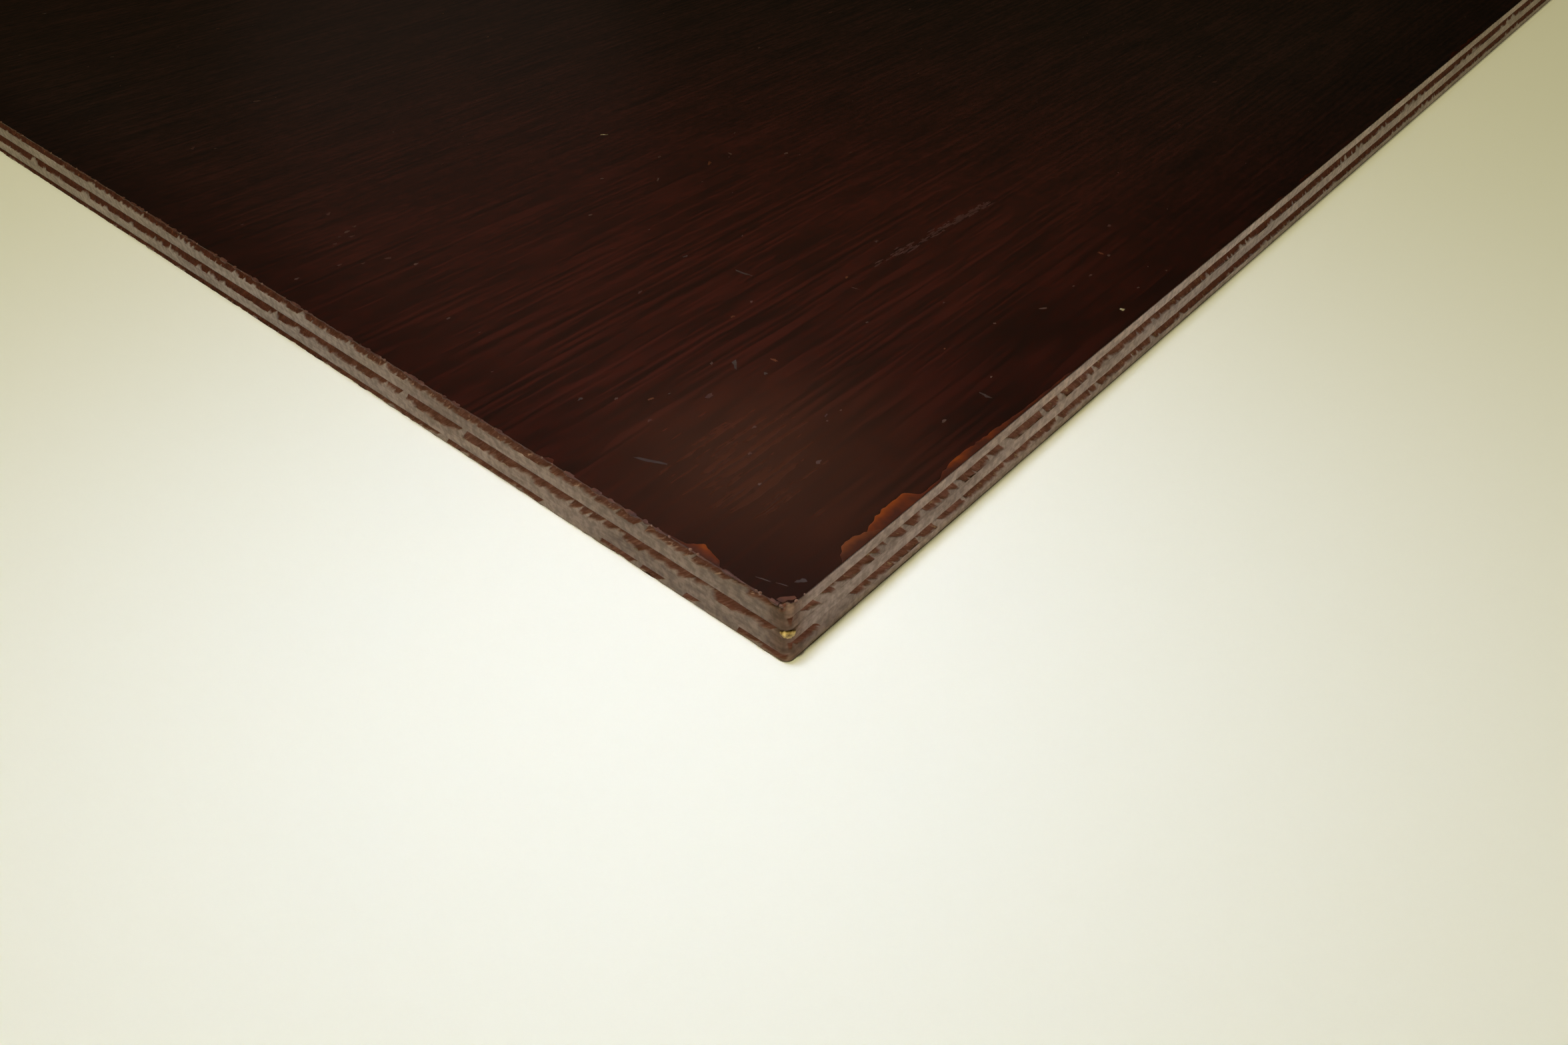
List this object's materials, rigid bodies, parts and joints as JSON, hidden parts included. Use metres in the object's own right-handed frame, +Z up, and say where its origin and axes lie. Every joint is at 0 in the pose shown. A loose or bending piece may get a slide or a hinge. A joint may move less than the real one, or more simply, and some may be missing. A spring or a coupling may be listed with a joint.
{
  "type": "film-faced plywood sheet",
  "caption": "Full sheet of film-faced plywood lying flat: glossy brown film on both faces, and sawn edges brushed with sealer that show the crossed plies.",
  "frame": {"origin": "middle of the underside, on the surface that the sheet lies on", "axes": "+X along the sheet's length and the grain of its faces, +Y across its width, +Z up out of the top face"},
  "size_m": [2.44, 1.22, 0.009],
  "materials": {
    "film": "glossy dark brown phenolic film",
    "lengthwise_ply": "sawn veneer, brushed with grey-brown edge sealer",
    "crosswise_ply": "sawn veneer, brushed with grey-brown edge sealer"
  },
  "bodies": {
    "root": {"film_top": "film", "face_veneer": "lengthwise_ply", "crossband_upper": "crosswise_ply", "core_veneer": "lengthwise_ply", "crossband_lower": "crosswise_ply", "back_veneer": "lengthwise_ply", "film_bottom": "film"}
  },
  "joints": []
}
